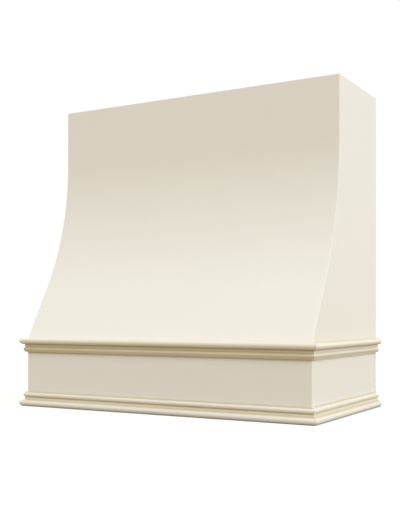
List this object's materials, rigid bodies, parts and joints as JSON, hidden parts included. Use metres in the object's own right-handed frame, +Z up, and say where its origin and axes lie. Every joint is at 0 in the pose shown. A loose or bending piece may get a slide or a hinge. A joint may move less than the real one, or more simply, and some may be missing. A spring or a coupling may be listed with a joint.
{
  "type": "range hood cover",
  "caption": "Wall-hung wooden range hood cover: upright top that flares in a curve to a flat apron band with mitred bead mouldings; open inside, hung on bevelled wall cleats.",
  "frame": {"origin": "middle of the cover's bottom back edge, on the wall's surface", "axes": "+X to the right as one faces the cover, +Y into the wall, +Z up"},
  "size_m": [0.9504, 0.5133, 0.9144],
  "materials": {
    "cream_paint": "satin antique-white paint over plywood",
    "moulding_paint": "satin antique-white paint over milled poplar",
    "birch_plywood": "bare sanded birch plywood",
    "solid_maple": "bare planed hardwood",
    "zinc_steel": "zinc plated"
  },
  "bodies": {
    "wall_cleat": {"wall_cleat": "birch_plywood"},
    "hood": {"side_panel_left": "cream_paint", "side_panel_right": "cream_paint", "front_skin": "cream_paint", "apron_front": "cream_paint", "upper_moulding_front": "moulding_paint", "upper_moulding_left": "moulding_paint", "upper_moulding_right": "moulding_paint", "lower_moulding_front": "moulding_paint", "lower_moulding_left": "moulding_paint", "lower_moulding_right": "moulding_paint", "top_front_rail": "birch_plywood", "top_back_rail": "birch_plywood", "knee_rail": "birch_plywood", "back_bottom_rail": "birch_plywood", "rib_left": "birch_plywood", "rib_right": "birch_plywood", "hood_cleat": "birch_plywood", "corner_block_left": "solid_maple", "corner_block_right": "solid_maple", "liner_cleat_front": "solid_maple", "liner_cleat_back": "solid_maple", "liner_cleat_left": "solid_maple", "liner_cleat_right": "solid_maple", "pocket_screws": "zinc_steel", "liner_cleat_screws": "zinc_steel", "hood_cleat_screws": "zinc_steel", "rib_screws": "zinc_steel", "skin_brads": "zinc_steel", "moulding_brads": "zinc_steel"}
  },
  "joints": [
    {"name": "hood_lift", "type": "slide", "parent": "wall_cleat", "child": "hood", "axis": [0, 0, 1], "range_m": [0, 0.025]}
  ]
}
